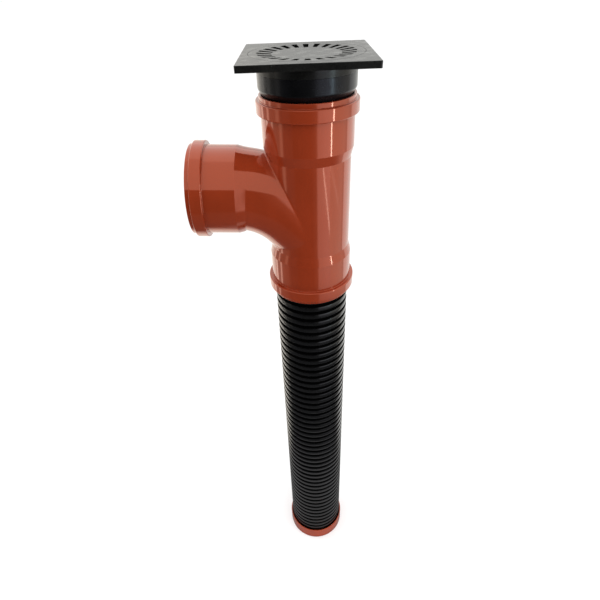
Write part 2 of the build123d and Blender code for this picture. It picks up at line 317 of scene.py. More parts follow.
def socket_profile(socket, outer_end, inner_end, blend):
    """A socket's section as (radius, depth), from inside the pipe round its mouth to outside."""
    lip, bead, bore = socket.lip_radius, socket.bead_radius, socket.bore
    lip_end = socket.lip_length
    bead_end = lip_end + socket.bead_length
    barrel_end = bead_end + socket.barrel_length
    cone_end = barrel_end + socket.cone_length
    groove = bead - socket.bead_wall
    groove_start = lip_end + socket.bead_wall
    groove_end = bead_end - socket.bead_wall
    barrel = bore + socket.wall
    part = blend / socket.cone_length
    small, wide = socket.corner_rounding, socket.cone_rounding
    corners = [
        (inner_end, cone_end + PIPE_TAIL, 0),
        (inner_end, cone_end, wide),
        (inner_end + (bore - inner_end) * part, cone_end - blend, 0),
        (bore, barrel_end, wide),
        (bore, groove_end, small),
        (groove, groove_end, small),
        (groove, groove_start, small),
        (bore, groove_start, small),
        (bore, socket.lead_in, small),
        (bore + socket.lead_in, 0, socket.lip_rounding),
        (lip, 0, socket.lip_rounding),
        (lip, lip_end, small),
        (bead, lip_end, socket.bead_rounding),
        (bead, bead_end, socket.bead_rounding),
        (barrel, bead_end, small),
        (barrel, barrel_end, wide),
        (outer_end + (barrel - outer_end) * part, cone_end - blend, 0),
        (outer_end, cone_end, wide),
        (outer_end, cone_end + PIPE_TAIL, 0),
    ]
    return rounded(corners)


# Meshes


class Shell:
    """Points and faces of one piece, gathered before they become a mesh."""

    def __init__(self):
        self.points = []
        self.faces = []

    def add_grid(self, rows, close_rows=False):
        """Adds quads between closed rows that all have the same number of points."""
        columns = len(rows[0])
        first = len(self.points)
        for row in rows:
            self.points.extend(row)
        for row in range(len(rows) if close_rows else len(rows) - 1):
            here = first + row * columns
            there = first + (row + 1) % len(rows) * columns
            for column in range(columns):
                after = (column + 1) % columns
                self.faces.append((here + column, here + after, there + after, there + column))

    def turn(self, outline, columns, closed=False):
        """Adds an outline of (radius, height) turned about Z."""
        rows = []
        for radius, height in outline:
            steps = [tau * column / columns for column in range(columns)]
            rows.append([(radius * cos(step), radius * sin(step), height) for step in steps])
        self.add_grid(rows, closed)
        return self

    def add_box(self, low_corner, high_corner, rounding=0, turn=0):
        """Adds a block turned about Z, with its edges rounded where a rounding is given."""
        block = bmesh.new()
        size = Vector(high_corner) - Vector(low_corner)
        middle = (Vector(high_corner) + Vector(low_corner)) / 2
        place = Matrix.Translation(middle) @ Matrix.Diagonal(size.to_4d())
        bmesh.ops.create_cube(block, size=1, matrix=place)
        if rounding:
            bmesh.ops.bevel(
                block, geom=block.edges, offset=rounding, segments=2, profile=0.5, affect="EDGES"
            )
        self.add_bmesh(block, Matrix.Rotation(turn, 4, "Z"))

    def add_bmesh(self, source, matrix=Matrix()):
        """Adds the faces of a bmesh, and frees it."""
        first = len(self.points)
        source.verts.index_update()
        self.points.extend(tuple(matrix @ vert.co) for vert in source.verts)
        self.faces.extend(tuple(first + vert.index for vert in face.verts) for face in source.faces)
        source.free()

    def moved(self, matrix):
        """Moves every point by a matrix."""
        self.points = [tuple(matrix @ Vector(point)) for point in self.points]
        return self

    def as_mesh(self, name):
        """A mesh with merged seams and poles, and with its faces pointing outwards."""
        mesh = bpy.data.meshes.new(name)
        mesh.from_pydata(self.points, [], self.faces)
        work = bmesh.new()
        work.from_mesh(mesh)
        bmesh.ops.remove_doubles(work, verts=work.verts, dist=MERGE_DISTANCE)
        bmesh.ops.dissolve_degenerate(work, edges=work.edges, dist=MERGE_DISTANCE)
        bmesh.ops.recalc_face_normals(work, faces=work.faces)
        work.to_mesh(mesh)
        work.free()
        return mesh


def new_object(name, data):
    piece = bpy.data.objects.new(name, data)
    bpy.context.scene.collection.objects.link(piece)
    return piece


def new_piece(name, shell):
    return new_object(name, shell.as_mesh(name))


def baked(piece):
    """Replaces a piece's mesh by its evaluated one and removes its modifiers."""
    bpy.context.view_layer.update()
    depsgraph = bpy.context.evaluated_depsgraph_get()
    mesh = bpy.data.meshes.new_from_object(
        piece.evaluated_get(depsgraph), preserve_all_data_layers=True, depsgraph=depsgraph
    )
    mesh.name = piece.name
    piece.modifiers.clear()
    piece.data = mesh


def finished(piece, material, slot, *nodes):
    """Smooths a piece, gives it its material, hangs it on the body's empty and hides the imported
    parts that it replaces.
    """
    piece.data.shade_smooth()
    piece.data.set_sharp_from_angle(angle=SHARP_ANGLE)
    piece.modifiers.new("weighted_normals", "WEIGHTED_NORMAL").keep_sharp = True
    baked(piece)
    piece.data.materials.clear()
    piece.data.materials.append(material)
    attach(piece, BODY)
    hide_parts(*nodes)


# Node trees


class Signal:
    """An output socket that takes part in Python arithmetic."""

    def __init__(self, graph, socket):
        self.graph = graph
        self.socket = socket

    def __add__(self, other):
        return self.graph.math("ADD", self, other)

    def __sub__(self, other):
        return self.graph.math("SUBTRACT", self, other)

    def __rsub__(self, other):
        return self.graph.math("SUBTRACT", other, self)

    def __mul__(self, other):
        return self.graph.math("MULTIPLY", self, other)

    def __neg__(self):
        return self * -1

    __radd__ = __add__
    __rmul__ = __mul__


class Graph:
    """A node tree whose nodes are all added by one method."""

    def __init__(self, tree):
        self.tree = tree

    def node(self, kind, sockets=None, output=0, **settings):
        """Adds a node with its settings and then its sockets, and gives one of its outputs."""
        node = self.tree.nodes.new(kind)
        for key, value in settings.items():
            setattr(node, key, value)
        for key, value in (sockets or {}).items():
            self.feed(node.inputs[key], value)
        return None if output is None else Signal(self, node.outputs[output])

    def feed(self, socket, value):
        """Links a socket to a signal, or to each one of a list, or sets it to a value."""
        if isinstance(value, list):
            for signal in value:
                self.feed(socket, signal)
        elif isinstance(value, Signal):
            self.tree.links.new(value.socket, socket)
        elif socket.type == "RGBA":
            socket.default_value = (*value, 1)
        else:
            socket.default_value = value

    def math(self, operation, first, second=0.0):
        return self.node("ShaderNodeMath", {0: first, 1: second}, operation=operation)

    def vector(self, operation, sockets, output=0):
        return self.node("ShaderNodeVectorMath", sockets, output, operation=operation)

    def mix(self, factor, first, second):
        """Blend of two colours."""
        return self.node("ShaderNodeMix", {0: factor, 6: first, 7: second}, 2, data_type="RGBA")

    def shades(self, factor, colour, darker, lighter):
        """Blend of two shades of a colour."""
        return self.mix(factor, scaled(colour, darker), scaled(colour, lighter))

    def grey(self, value):
        """A colour with three equal parts."""
        return self.node("ShaderNodeCombineXYZ", {0: value, 1: value, 2: value})

    def between(self, value, low_value, high_value):
        """0 below a value, 1 above another, smooth in between."""
        sockets = {"Value": value, "From Min": low_value, "From Max": high_value}
        return self.node("ShaderNodeMapRange", sockets, interpolation_type="SMOOTHSTEP")

    def ray(self, kind):
        """1 for one kind of ray, else 0."""
        return self.node("ShaderNodeLightPath", output=f"Is {kind} Ray")


def scaled(values, factor):
    return tuple(min(value * factor, 1) for value in values)


class Tree(Graph):
    """A geometry node tree with named inputs, which ends in real geometry with its material."""

    def __init__(self, name, inputs):
        super().__init__(bpy.data.node_groups.new(name, "GeometryNodeTree"))
        face = self.tree.interface
        face.new_socket("Geometry", in_out="INPUT", socket_type="NodeSocketGeometry")
        self.identifiers = {}
        for label, kind in inputs.items():
            socket = face.new_socket(label, in_out="INPUT", socket_type="NodeSocket" + kind)
            self.identifiers[label] = socket.identifier
        face.new_socket("Geometry", in_out="OUTPUT", socket_type="NodeSocketGeometry")
        outputs = self.tree.nodes.new("NodeGroupInput").outputs
        self.given = {socket.name: Signal(self, socket) for socket in outputs}

    def finish(self, geometry):
        solid = self.node("GeometryNodeRealizeInstances", {"Geometry": geometry})
        sockets = {"Geometry": solid, "Material": self.given["Material"]}
        coloured = self.node("GeometryNodeSetMaterial", sockets)
        self.node("NodeGroupOutput", {"Geometry": coloured}, output=None)
        return self

    def applied(self, piece, values):
        """Runs the tree on a piece with given input values, and keeps the result as its mesh."""
        modifier = piece.modifiers.new(self.tree.name, "NODES")
        modifier.node_group = self.tree
        for label, value in values.items():
            modifier[self.identifiers[label]] = value
        baked(piece)


def ridge_tree():
    """Turns one ridge's outline about Z and repeats it along the pipe."""
    inputs = {
        "Crest Radius": "Float",
        "Columns": "Int",
        "Bottom": "Float",
        "Pitch": "Float",
        "Ridges": "Int",
        "Material": "Material",
    }
    tree = Tree("ridges_along_a_pipe", inputs)
    given = tree.given
    outline = tree.node("GeometryNodeMeshToCurve", {"Mesh": given["Geometry"]})
    sockets = {"Resolution": given["Columns"], "Radius": given["Crest Radius"]}
    path = tree.node("GeometryNodeCurvePrimitiveCircle", sockets)
    ridge = tree.node("GeometryNodeCurveToMesh", {"Curve": path, "Profile Curve": outline})
    start = tree.node("ShaderNodeCombineXYZ", {"Z": given["Bottom"]})
    offset = tree.node("ShaderNodeCombineXYZ", {"Z": given["Pitch"]})
    sockets = {"Count": given["Ridges"], "Start Location": start, "Offset": offset}
    places = tree.node("GeometryNodeMeshLine", sockets)
    sockets = {"Points": places, "Instance": ridge}
    return tree.finish(tree.node("GeometryNodeInstanceOnPoints", sockets))


def ring_tree(name, operation):
    """Joins a pattern to a body, or cuts it out, at even steps round Z."""
    tree = Tree(name, {"Pattern": "Object", "Count": "Int", "Material": "Material"})
    given = tree.given
    body = given["Geometry"]
    pattern = tree.node("GeometryNodeObjectInfo", {"Object": given["Pattern"]}, "Geometry")
    places = tree.node("GeometryNodeMeshLine", {"Count": given["Count"], "Offset": (0, 0, 0)})
    turn = tree.math("DIVIDE", tree.node("GeometryNodeInputIndex"), given["Count"]) * tau
    rotation = tree.node("ShaderNodeCombineXYZ", {"Z": turn})
    sockets = {"Points": places, "Instance": pattern, "Rotation": rotation}
    copies = tree.node("GeometryNodeInstanceOnPoints", sockets)
    sockets = {"Mesh 1": body, "Mesh 2": copies}
    if operation == "UNION":
        sockets = {"Mesh 2": tree.node("GeometryNodeJoinGeometry", {"Geometry": [body, copies]})}
    return tree.finish(
        tree.node("GeometryNodeMeshBoolean", sockets, operation=operation, solver="MANIFOLD")
    )


def repeated(piece, pattern_shell, tree, number, material):
    """Runs a ring tree on a piece with a pattern that exists only meanwhile."""
    pattern = new_piece(piece.name + "_pattern", pattern_shell)
    tree.applied(piece, {"Pattern": pattern, "Count": number, "Material": material})
    mesh = pattern.data
    bpy.data.objects.remove(pattern)
    bpy.data.meshes.remove(mesh)


# Tee


def tilted_up(turn):
    return Vector((sin(turn), 0, cos(turn)))


def tilted_along(turn):
    return Vector((cos(turn), 0, -sin(turn)))


class TeeShape:
    """Where the points of one side of the tee's wall are: its outside or its inside."""

    def __init__(self, tee, socket, inside):
        self.tee = tee
        wall = tee.pipe_wall if inside else 0
        self.run_radius = tee.pipe_radius - wall
        self.branch_radius = tee.branch_radius - wall
        self.bottom = low("tee", 2)
        self.top = high("tee", 2)
        self.barrel_end = socket.lip_length + socket.bead_length + socket.barrel_length
        self.cone_end = self.barrel_end + socket.cone_length
        self.barrel_radius = socket.bore if inside else socket.bore + socket.wall
        self.tilt = pi / 2 - tee.branch_angle
        self.bend_start = tee.branch_reach - self.cone_end
        self.bend_length = tee.bend_radius * tee.bend_angle
        self.sides = 2 * tee.columns
        self.turns = [-pi / 2 + tau * number / self.sides for number in range(self.sides)]
        self.lead_length = self.run_crossing() - self.bend_length

    def branch_frame(self, place):
        """Middle, upward and inward directions of the branch, place metres after its cone."""
        blend = self.tee.mitre_blend
        first = self.tilt + self.tee.mitre
        turn = first + min(max(place, 0), self.bend_length) / self.tee.bend_radius
        origin = Vector((0, 0, self.bottom + self.tee.branch_level))
        middle = origin + tilted_along(self.tilt) * (min(place, 0) - self.bend_start)
        middle += (tilted_up(turn) - tilted_up(first)) * self.tee.bend_radius
        middle += tilted_along(turn) * max(place - self.bend_length, 0)
        part = min(max((place + blend) / (2 * blend), 0), 1)
        turn -= self.tee.mitre * (1 - part * part * (3 - 2 * part))
        return middle, tilted_up(turn), tilted_along(turn)

    def run_crossing(self):
        """Where the branch's middle line reaches the run's axis."""
        middle, _, along = self.branch_frame(self.bend_length)
        return self.bend_length - middle.x / along.x

    def branch_point(self, place, turn, radius=None):
        """Point of the branch, turned from its top."""
        middle, up, _ = self.branch_frame(place)
        ring = up * cos(turn) + Vector((0, 1, 0)) * sin(turn)
        return middle + ring * (self.branch_radius if radius is None else radius)

    def radius_at(self, height):
        """Radius of the run's wall at a level between its two barrels."""
        depth = min(height - self.bottom, self.top - height)
        part = (self.cone_end - depth) / (self.cone_end - self.barrel_end)
        part = min(max(part, 0), 1)
        return self.run_radius + (self.barrel_radius - self.run_radius) * part

    def meeting(self, turn):
        """Place along the branch where its wall enters the run's."""
        near, far = 0, self.bend_length + self.lead_length
        for _ in range(SEARCH_STEPS):
            place = (near + far) / 2
            point = self.branch_point(place, turn)
            if hypot(point.x, point.y) > self.radius_at(point.z):
                near = place
            else:
                far = place
        return near

    def run_point(self, turn, height, radius=None):
        """Point of the run, turned from the side that faces the branch."""
        radius = self.radius_at(height) if radius is None else radius
        return Vector((-radius * cos(turn), radius * sin(turn), height))

    def seam(self, reach):
        """The line where the branch meets the run, with its place a reach away on each wall.

        Each entry has the point, its place and turn on the branch, and its turn and height on
        the run."""
        places = [self.meeting(turn) for turn in self.turns]
        line = [self.branch_point(place, turn) for place, turn in zip(places, self.turns)]
        middle_height = sum(point.z for point in line) / len(line)
        seam = []
        for number, (point, place, turn) in enumerate(zip(line, places, self.turns)):
            tangent = line[(number + 1) % len(line)] - line[number - 1]
            _, up, along = self.branch_frame(place)
            ring = up * cos(turn) + Vector((0, 1, 0)) * sin(turn)
            round_ring = ring.cross(along)
            away = ring.cross(tangent).normalized()
            away *= reach if away.dot(along) < 0 else -reach
            stretch = 1
            if place < self.bend_length:
                stretch += self.branch_radius / self.tee.bend_radius * cos(turn)
            beside = self.branch_point(place, turn + PROBE_TURN)
            side = 1 if beside.dot(round_ring) > point.dot(round_ring) else -1
            branch_place = place + away.dot(along) / stretch
            branch_turn = turn + side * away.dot(round_ring) / self.branch_radius
            run_turn = atan2(point.y, -point.x)
            outwards = Vector((point.x, point.y, 0)).normalized()
            sideways = Vector((sin(run_turn), cos(run_turn), 0))
            rise = Vector((0, 0, point.z - middle_height))
            off = outwards.cross(tangent).normalized()
            from_centre = sideways * run_turn * self.run_radius + rise
            off *= reach if off.dot(from_centre) > 0 else -reach
            run_turn += off.dot(sideways) / self.run_radius
            seam.append((point, branch_place, branch_turn, run_turn, point.z + off.z))
        return seam


def tee_wall(shell, shape, reach, profile):
    """Adds one side of the tee's wall between its sockets, and gives the mouths' columns."""
    half = shape.sides // 2
    seam = shape.seam(reach)
    tail = profile[-1][1] - shape.cone_end
    branch_rows = []
    for row in range(BRANCH_ROWS + 1):
        part = row / BRANCH_ROWS
        points = []
        for even_turn, (_, place, turn, _, _) in zip(shape.turns, seam):
            at = tail + (place - tail) * part
            points.append(shape.branch_point(at, even_turn + (turn - even_turn) * part * part))
        branch_rows.append(points)
    weld_rows = [branch_rows[-1]]
    run_edge = [shape.run_point(turn, height) for _, _, _, turn, height in seam]
    for step in WELD_STEPS:
        points = []
        for start, (corner, *_), end in zip(branch_rows[-1], seam, run_edge):
            first = start.lerp(corner, step)
            second = corner.lerp(end, step)
            points.append(first.lerp(second, step))
        weld_rows.append(points)
    weld_rows.append(run_edge)
    shell.add_grid(branch_rows)
    shell.add_grid(weld_rows)

    upper = seam[: half + 1]
    lower = [seam[-number % shape.sides] for number in range(half + 1)]
    *_, first_turn, tip_height = upper[0]
    last_turn = upper[-1][3]
    back = [last_turn + (first_turn + tau - last_turn) * step / half for step in range(1, half)]
    ratio = shape.branch_radius / shape.run_radius
    even = [asin(ratio * sin(-pi / 2 + pi * number / half)) for number in range(half + 1)]
    even[0], even[-1] = first_turn, last_turn
    end_turns = even + back
    for side, mouth, way in ((lower, shape.bottom, 1), (upper, shape.top, -1)):
        start = mouth + way * shape.cone_end + way * tail
        past = min if way > 0 else max
        edge_heights = [entry[4] for entry in side] + [tip_height] * len(back)
        edge_turns = [entry[3] for entry in side] + back
        columns = list(zip(edge_heights, edge_turns, end_turns))
        rows = []
        for row in range(RUN_ROWS + 1):
            points = []
            for height, edge_turn, end_turn in columns:
                at = height + (past(start, height) - height) * (row / RUN_ROWS)
                points.append(shape.run_point(settled(edge_turn, end_turn, at - height), at))
            rows.append(points)
        for radius, depth in reversed(profile):
            socket_height = mouth + way * depth
            points = []
            for height, edge_turn, end_turn in columns:
                at = past(socket_height, height)
                turn = settled(edge_turn, end_turn, at - height)
                points.append(shape.run_point(turn, at, radius if at == socket_height else None))
            rows.append(points)
        shell.add_grid(rows)
    return end_turns


def settled(edge_turn, end_turn, distance):
    """A column's angle, which settles within a short way of the seam."""
    return edge_turn + (end_turn - edge_turn) * min(abs(distance) / SETTLING, 1)


def tee_shell(settings):
    """The tee: one wall outside and one inside, which meet at the three mouths."""
    tee, socket = settings.tee, settings.socket
    section, branch_section = (
        socket_profile(socket, radius, radius - tee.pipe_wall, tee.mitre_blend)
        for radius in (tee.pipe_radius, tee.branch_radius)
    )
    middle = min(range(len(section)), key=lambda number: (section[number][1], -section[number][0]))
    shell = Shell()
    outside = TeeShape(tee, socket, False)
    inside = TeeShape(tee, socket, True)
    rings = (
        tee_wall(shell, outside, tee.weld_radius, section[middle:]),
        tee_wall(shell, inside, tee.weld_radius / 3, section[: middle + 1][::-1]),
    )
    rows = []
    for radius, depth in branch_section:
        place = depth - outside.cone_end
        rows.append([outside.branch_point(place, turn, radius) for turn in outside.turns])
    shell.add_grid(rows)
    radius = section[middle][0]
    for mouth in (outside.bottom, outside.top):
        rows = [[outside.run_point(turn, mouth, radius) for turn in ring] for ring in rings]
        shell.add_grid(rows)
    return shell


# Other pieces


def riser_outline(riser):
    """One ridge's outline, as (distance out from the crest's radius, height)."""
    pitch = (riser.top - riser.bottom) / riser.ridge_count
    flank = pitch * (1 - riser.crest_share) / 2
    bottom = -riser.ridge_depth
    quarter = pitch / 4
    corners = [
        (bottom, 0, 0),
        (bottom, GROOVE_FLAT, riser.groove_rounding),
        (-riser.crest_crown, flank, riser.crest_rounding),
        (0, pitch / 2 - quarter / 2, quarter),
        (0, pitch / 2 + quarter / 2, quarter),
        (-riser.crest_crown, pitch - flank, riser.crest_rounding),
        (bottom, pitch - GROOVE_FLAT, riser.groove_rounding),
        (bottom, pitch, 0),
    ]
    return rounded(corners, small=2 * riser.crest_rounding)


def square_point(half_width, corner, turn):
    """Point of a rounded square's outline in a given direction."""
    across, along = abs(cos(turn)), abs(sin(turn))
    reach = half_width / max(across, along)
    if min(across, along) * reach > half_width - corner:
        centre = half_width - corner
        middle = centre * (across + along)
        reach = middle + sqrt(max(middle * middle - 2 * centre * centre + corner * corner, 0))
    return Vector((reach * cos(turn), reach * sin(turn)))


def frame_columns():
    """Directions of the square frame's columns, close together at its corners."""
    quarter = pi / 2
    turns = []
    for side in range(4):
        for step in range(SIDE_COLUMNS):
            turns.append(side * quarter + quarter * step / SIDE_COLUMNS)
        for step in CORNER_STEPS:
            turns.append(side * quarter + quarter / 2 + CORNER_SPREAD * step)
    return sorted(turns)


def frame_shell(sizes):
    """The square frame with its pocket, collar and spigot, as one closed loop of rows."""
    half = sizes.width / 2
    skirt = half - sizes.skirt_wall
    bottom = sizes.top - sizes.skirt_height
    ledge = sizes.top - sizes.ledge_depth
    under_ledge = ledge - sizes.ledge_thickness
    under_plate = sizes.top - sizes.plate
    pocket, throat, collar = sizes.pocket_radius, sizes.throat_radius, sizes.collar_radius
    pocket_outer = pocket + sizes.pocket_wall
    spigot = sizes.spigot_radius
    spigot_inner = spigot - sizes.spigot_wall
    start, end = sizes.collar_start, sizes.spigot_end
    wide = sizes.edge_rounding
    small = wide / 2
    corners = [
        (pocket, ledge, small),
        (throat, ledge, small),
        (throat, start + sizes.funnel, small),
        (spigot_inner, start, small),
        (spigot_inner, end, small),
        (spigot, end, wide),
        (spigot, start, small),
        (collar, start, small),
        (collar, under_ledge, wide),
        (pocket_outer, under_ledge, small),
        (pocket_outer, under_plate, small),
        (skirt, under_plate, small),
        (skirt, bottom, small),
        (half, bottom, small),
        (half, sizes.top, wide),
        (pocket, sizes.top, small),
    ]
    middle = (pocket_outer + half - sizes.skirt_wall) / 2
    turns = frame_columns()
    rows = []
    for radius, height in rounded(corners, closed=True):
        if radius > middle:
            corner = max(sizes.corner_radius - (half - radius), small)
            places = [square_point(radius, corner, turn) for turn in turns]
        else:
            places = [Vector((radius * cos(turn), radius * sin(turn))) for turn in turns]
        rows.append([(*place, height) for place in places])
    shell = Shell()
    shell.add_grid(rows, close_rows=True)
    return shell


def frame_rib_shell(sizes):
    """The three ribs under one corner of the frame."""
    thin = sizes.rib_thickness / 2
    inner = sizes.pocket_radius + sizes.pocket_wall - thin
    bottom = sizes.top - sizes.skirt_height
    top = sizes.top - sizes.plate + thin
    half = sizes.width / 2 - sizes.skirt_wall
    shell = Shell()
    for side in (-1, 0, 1):
        turn = pi / 4 + side * sizes.rib_spread
        reach = half / max(cos(turn), sin(turn)) + thin
        shell.add_box((inner, -thin, bottom), (reach, thin, top), turn=turn)
    return shell


def frame_pip_shell(sizes):
    """The two upright pips on one side of the skirt."""
    half = sizes.width / 2
    middle = sizes.top - sizes.skirt_height / 2
    front = -half - sizes.pip_proud
    back = -half + sizes.skirt_wall / 2
    shell = Shell()
    for place in (-sizes.pip_offset, sizes.pip_offset):
        shell.add_box(
            (place - sizes.pip_width / 2, front, middle - sizes.pip_height / 2),
            (place + sizes.pip_width / 2, back, middle + sizes.pip_height / 2),
            sizes.pip_rounding,
        )
    return shell


def insert_shell(sizes, top, columns):
    """The round insert without its slots."""
    floor = top - sizes.dish - sizes.web
    ring_inner = sizes.dish_radius - sizes.ring_thickness
    small = sizes.edge_rounding
    wide = sizes.slot_rounding * 4
    corners = [
        (0, floor, 0),
        (ring_inner, floor, small),
        (ring_inner, floor - sizes.rib_depth, small),
        (sizes.dish_radius, floor - sizes.rib_depth, small),
        (sizes.dish_radius, floor, small),
        (sizes.rim_radius, top - sizes.web, small),
        (sizes.rim_radius, top - sizes.rim_depth, small),
        (sizes.radius, top - sizes.rim_depth, small),
        (sizes.radius, top, small),
        (sizes.rim_radius, top, wide),
        (sizes.dish_radius, top - sizes.dish, wide),
        (0, top - sizes.dish, 0),
    ]
    return Shell().turn(rounded(corners), columns)


def slot_shell(sizes, top):
    """One wedge-shaped slot, as the block that is cut out."""
    half_turn = pi / sizes.slot_count * sizes.slot_share
    steps = (-1, -0.5, 0, 0.5, 1)
    corners = []
    for reach, order in ((sizes.slot_outer, steps), (sizes.slot_inner, steps[::-1])):
        for step in order:
            turn = half_turn * step
            rounding = sizes.slot_rounding if abs(step) == 1 else 0
            corners.append((reach * cos(turn), reach * sin(turn), rounding))
    outline = rounded(corners, closed=True)
    shell = Shell()
    depth = sizes.rim_depth + sizes.dish + sizes.web
    shell.add_grid([[(x, y, height) for x, y in outline] for height in (top - depth, top + depth)])
    number = len(outline)
    shell.faces.append(tuple(range(number)))
    shell.faces.append(tuple(range(number, 2 * number)))
    return shell


def insert_rib_shell(sizes, top):
    """One rib right across the underside of the insert's centre."""
    floor = top - sizes.dish - sizes.web
    reach = sizes.dish_radius - sizes.ring_thickness / 2
    thin = sizes.rib_thickness / 2
    bottom = floor - sizes.rib_depth + sizes.edge_rounding
    shell = Shell()
    shell.add_box((-reach, -thin, bottom), (reach, thin, floor + sizes.web / 2))
    return shell


def cap_shell(sizes, columns):
    """The base cap, a cup round the riser's end."""
    inner = sizes.radius - sizes.wall
    corners = [
        (0, 0, 0),
        (sizes.radius, 0, sizes.foot_rounding),
        (sizes.radius, sizes.height, sizes.rim_rounding),
        (inner, sizes.height, sizes.rim_rounding),
        (inner, sizes.floor, sizes.rim_rounding),
        (0, sizes.floor, 0),
    ]
    return Shell().turn(rounded(corners), columns)


def neck_shell(sizes, pipe_radius, pipe_wall, columns):
    """The neck, from its spigot in the tee to the rim that carries the frame."""
    inner = sizes.radius - sizes.wall
    bore = pipe_radius - pipe_wall
    small = sizes.edge_rounding
    corners = [
        (bore, sizes.spigot_end, small),
        (pipe_radius, sizes.spigot_end, 2 * small),
        (pipe_radius, sizes.shoulder_start, sizes.shoulder_rounding / 2),
        (sizes.radius, sizes.barrel_start, sizes.shoulder_rounding),
        (sizes.radius, sizes.rim, small),
        (inner, sizes.rim, small),
        (inner, sizes.barrel_start, sizes.shoulder_rounding),
        (bore, sizes.shoulder_start, sizes.shoulder_rounding),
    ]
    return Shell().turn(rounded(corners, closed=True), columns, closed=True)


def seal_shell(seal, socket):
    """A seal ring about Z, at its depth behind a mouth at zero."""
    outer = socket.bead_radius - socket.bead_wall - seal.clearance
    inner = socket.bore + seal.clearance
    front = socket.lip_length + socket.bead_wall + seal.clearance
    back = socket.lip_length + socket.bead_length - socket.bead_wall - seal.clearance
    heel = front + (back - front) * seal.heel_share
    small = seal.rounding
    corners = [
        (inner, front, small),
        (outer, front, small),
        (outer, back, small),
        (outer - seal.lip_depth, back, small),
        (outer - seal.lip_depth, heel, small),
        (inner, heel, small),
    ]
    return Shell().turn(rounded(corners, closed=True), seal.columns, closed=True)


# Materials

# Shares of a ridge's depth below its crest, between which the riser's gloss comes up and the
# painted shade of its grooves fades out
GLOSS_AND_GROOVE_SHADE_DEPTHS = (0.12, 0.02)


class Finish(Graph):
    """A material with a principled shader, which reads its place in the object's frame."""

    def __init__(self, name):
        self.material = bpy.data.materials.new(name)
        self.material.use_nodes = True
        super().__init__(self.material.node_tree)
        self.shader = self.tree.nodes["Principled BSDF"]
        self.output = self.tree.nodes["Material Output"]
        self.place = self.node("ShaderNodeTexCoord", output="Object")

    def noise(self, scale, detail=2, stretch=(1, 1, 1)):
        """Cloudy value about 0.5, stretched along the axes."""
        place = self.node("ShaderNodeMapping", {"Vector": self.place, "Scale": stretch})
        sockets = {"Vector": place, "Scale": scale, "Detail": detail, "Roughness": 0.5}
        return self.node("ShaderNodeTexNoise", sockets, "Fac")

    def set(self, **values):
        for key, value in values.items():
            self.feed(self.shader.inputs[key.replace("_", " ")], value)

    def bump(self, height, distance):
        sockets = {"Height": height, "Distance": distance, "Strength": 1.0}
        self.set(Normal=self.node("ShaderNodeBump", sockets, "Normal"))


def terracotta_finish(finish, settings):
    """Glossy moulded plastic, with faint flow marks, hairlines and a slight orange peel."""
    cloud = finish.noise(9, 4)
    streak = finish.noise(14, 3, (1, 1, 0.18))
    tone = finish.between(cloud * 0.6 + streak * 0.4, 0.38, 0.62)
    hair = finish.between(finish.noise(260, 2, (1, 1, 0.02)), 0.66, 0.72)
    smudge = finish.between(finish.noise(22, 5), 0.50, 0.72)
    peel = finish.noise(190, 1)
    ripple = finish.noise(30, 1)
    finish.set(
        Base_Color=finish.shades(tone, settings.colours.terracotta, 0.94, 1.06),
        Roughness=0.07 + smudge * 0.04 + hair * 0.04,
        IOR=2.0,
        Specular_Tint=settings.colours.terracotta_gloss,
        Coat_Weight=0.2,
        Coat_Roughness=0.04,
    )
    finish.bump(peel * 0.25 + ripple * 1.2 + hair * 0.15, 0.00005)


def moulding_finish(finish, settings):
    """Black moulded plastic of the neck, satin with faint turned lines."""
    cloud = finish.noise(12, 4)
    lines = finish.noise(30, 3, (0.3, 0.3, 24))
    tone = finish.between(cloud, 0.35, 0.65)
    smudge = finish.between(finish.noise(35, 5), 0.48, 0.70)
    finish.set(
        Base_Color=finish.shades(tone, settings.colours.moulding, 0.7, 1.4),
        Roughness=0.16 + smudge * 0.08 + lines * 0.10,
        IOR=1.31,
        Specular_Tint=settings.colours.moulding_gloss,
    )
    finish.bump(lines * 0.9 + finish.noise(260, 1) * 0.3, 0.00006)


def grate_finish(finish, settings):
    """Black moulded plastic of the grate, with a fine matt grain and faint rubbed patches."""
    grain = finish.noise(1500, 2)
    coarse = finish.noise(420, 2)
    cloud = finish.noise(16, 4)
    tone = finish.between(cloud * 0.7 + coarse * 0.3, 0.38, 0.62)
    rub = finish.between(finish.noise(45, 5), 0.45, 0.72)
    finish.set(
        Base_Color=finish.shades(tone, settings.colours.grate, 0.55, 1.7),
        Roughness=0.24 + grain * 0.10 - rub * 0.05,
        IOR=1.32,
        Coat_Weight=0.05 + rub * 0.22 + coarse * 0.08,
        Coat_IOR=1.45,
        Coat_Roughness=0.30,
    )
    finish.bump(grain * 0.5 + coarse * 0.5, 0.00005)


def riser_finish(finish, settings):
    """Black extruded plastic of the riser, glossy on the crests, with painted shade in the grooves:
    a darker colour and no gloss there.
    """
    riser, colour = settings.riser, settings.colours.riser
    cloud = finish.noise(14, 4)
    drawn = finish.noise(120, 2, (1, 1, 0.05))
    tone = finish.between(cloud, 0.35, 0.65)
    across = finish.vector("MULTIPLY", {0: finish.place, 1: (1, 1, 0)})
    # Mask that is 1 on the crests and 0 in the grooves, where painted shade darkens the colour and
    # takes the gloss away
    crest_beside_painted_groove_shade = finish.between(
        finish.vector("LENGTH", {0: across}, "Value"),
        *(riser.crest_radius - part * riser.ridge_depth for part in GLOSS_AND_GROOVE_SHADE_DEPTHS),
    )
    crest_colour = finish.shades(tone, colour, 0.8, 1.25)
    dust = finish.between(finish.noise(60, 5), 0.55, 0.78)
    finish.set(
        # The grooves' colour at a quarter of the riser's is painted shade, and so is their missing
        # coat
        Base_Color=finish.mix(crest_beside_painted_groove_shade, scaled(colour, 0.25), crest_colour),
        Roughness=0.6,
        IOR=1.0,
        Coat_Weight=crest_beside_painted_groove_shade * 0.95,
        Coat_IOR=1.45,
        Coat_Roughness=0.13,
    )
    finish.bump(drawn * 0.5 + finish.noise(330, 1) * 0.4 + dust * 0.2, 0.00005)


